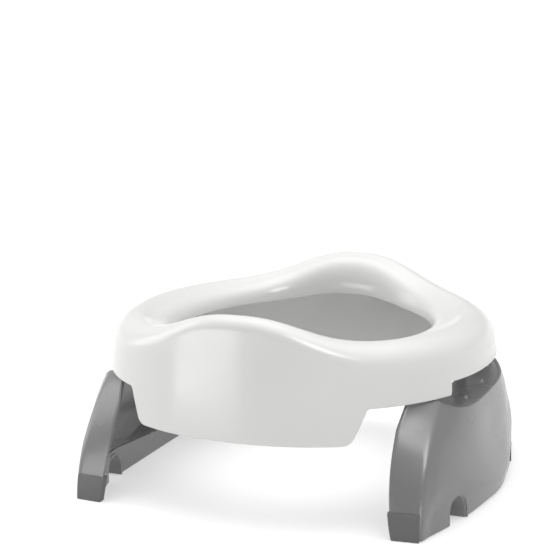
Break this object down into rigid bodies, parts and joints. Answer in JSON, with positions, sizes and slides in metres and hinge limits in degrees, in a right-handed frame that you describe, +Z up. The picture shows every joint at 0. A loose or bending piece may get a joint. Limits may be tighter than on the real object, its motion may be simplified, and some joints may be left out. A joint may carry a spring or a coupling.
{
  "type": "potty training chair",
  "caption": "Folding travel potty: oval saddle seat with deep splash skirts on two scooped legs that hinge in under it or out flat as trainer-seat handles.",
  "frame": {"origin": "on the floor, under the middle of the seat", "axes": "+X towards the right leg, +Y towards the rear hump, +Z up"},
  "size_m": [0.3176, 0.2912, 0.15],
  "materials": {
    "white_plastic": "glossy moulded polypropylene",
    "grey_plastic": "semi-gloss moulded polypropylene",
    "foot_rubber": "soft matt rubber",
    "stud_rubber": "pale soft rubber",
    "pin_steel": "bright steel"
  },
  "bodies": {
    "seat": {"seat_shell": "white_plastic", "left_front_hinge_pin": "pin_steel", "left_front_pin_cap": "grey_plastic", "left_rear_hinge_pin": "pin_steel", "left_rear_pin_cap": "grey_plastic", "right_front_hinge_pin": "pin_steel", "right_front_pin_cap": "grey_plastic", "right_rear_hinge_pin": "pin_steel", "right_rear_pin_cap": "grey_plastic"},
    "leg_left": {"left_leg": "grey_plastic", "left_front_foot_cap": "foot_rubber", "left_rear_foot_cap": "foot_rubber", "left_front_bumper_stud_1": "stud_rubber", "left_front_bumper_stud_2": "stud_rubber", "left_rear_bumper_stud_1": "stud_rubber", "left_rear_bumper_stud_2": "stud_rubber"},
    "leg_right": {"right_leg": "grey_plastic", "right_front_foot_cap": "foot_rubber", "right_rear_foot_cap": "foot_rubber", "right_front_bumper_stud_1": "stud_rubber", "right_front_bumper_stud_2": "stud_rubber", "right_rear_bumper_stud_1": "stud_rubber", "right_rear_bumper_stud_2": "stud_rubber"}
  },
  "joints": [
    {"name": "left_leg_fold", "type": "hinge", "parent": "seat", "child": "leg_left", "pos_m": [-0.123, 0, 0.102], "axis": [0, -1, 0], "range_deg": [-90, 90]},
    {"name": "right_leg_fold", "type": "hinge", "parent": "seat", "child": "leg_right", "pos_m": [0.123, 0, 0.102], "axis": [0, 1, 0], "range_deg": [-90, 90]}
  ]
}
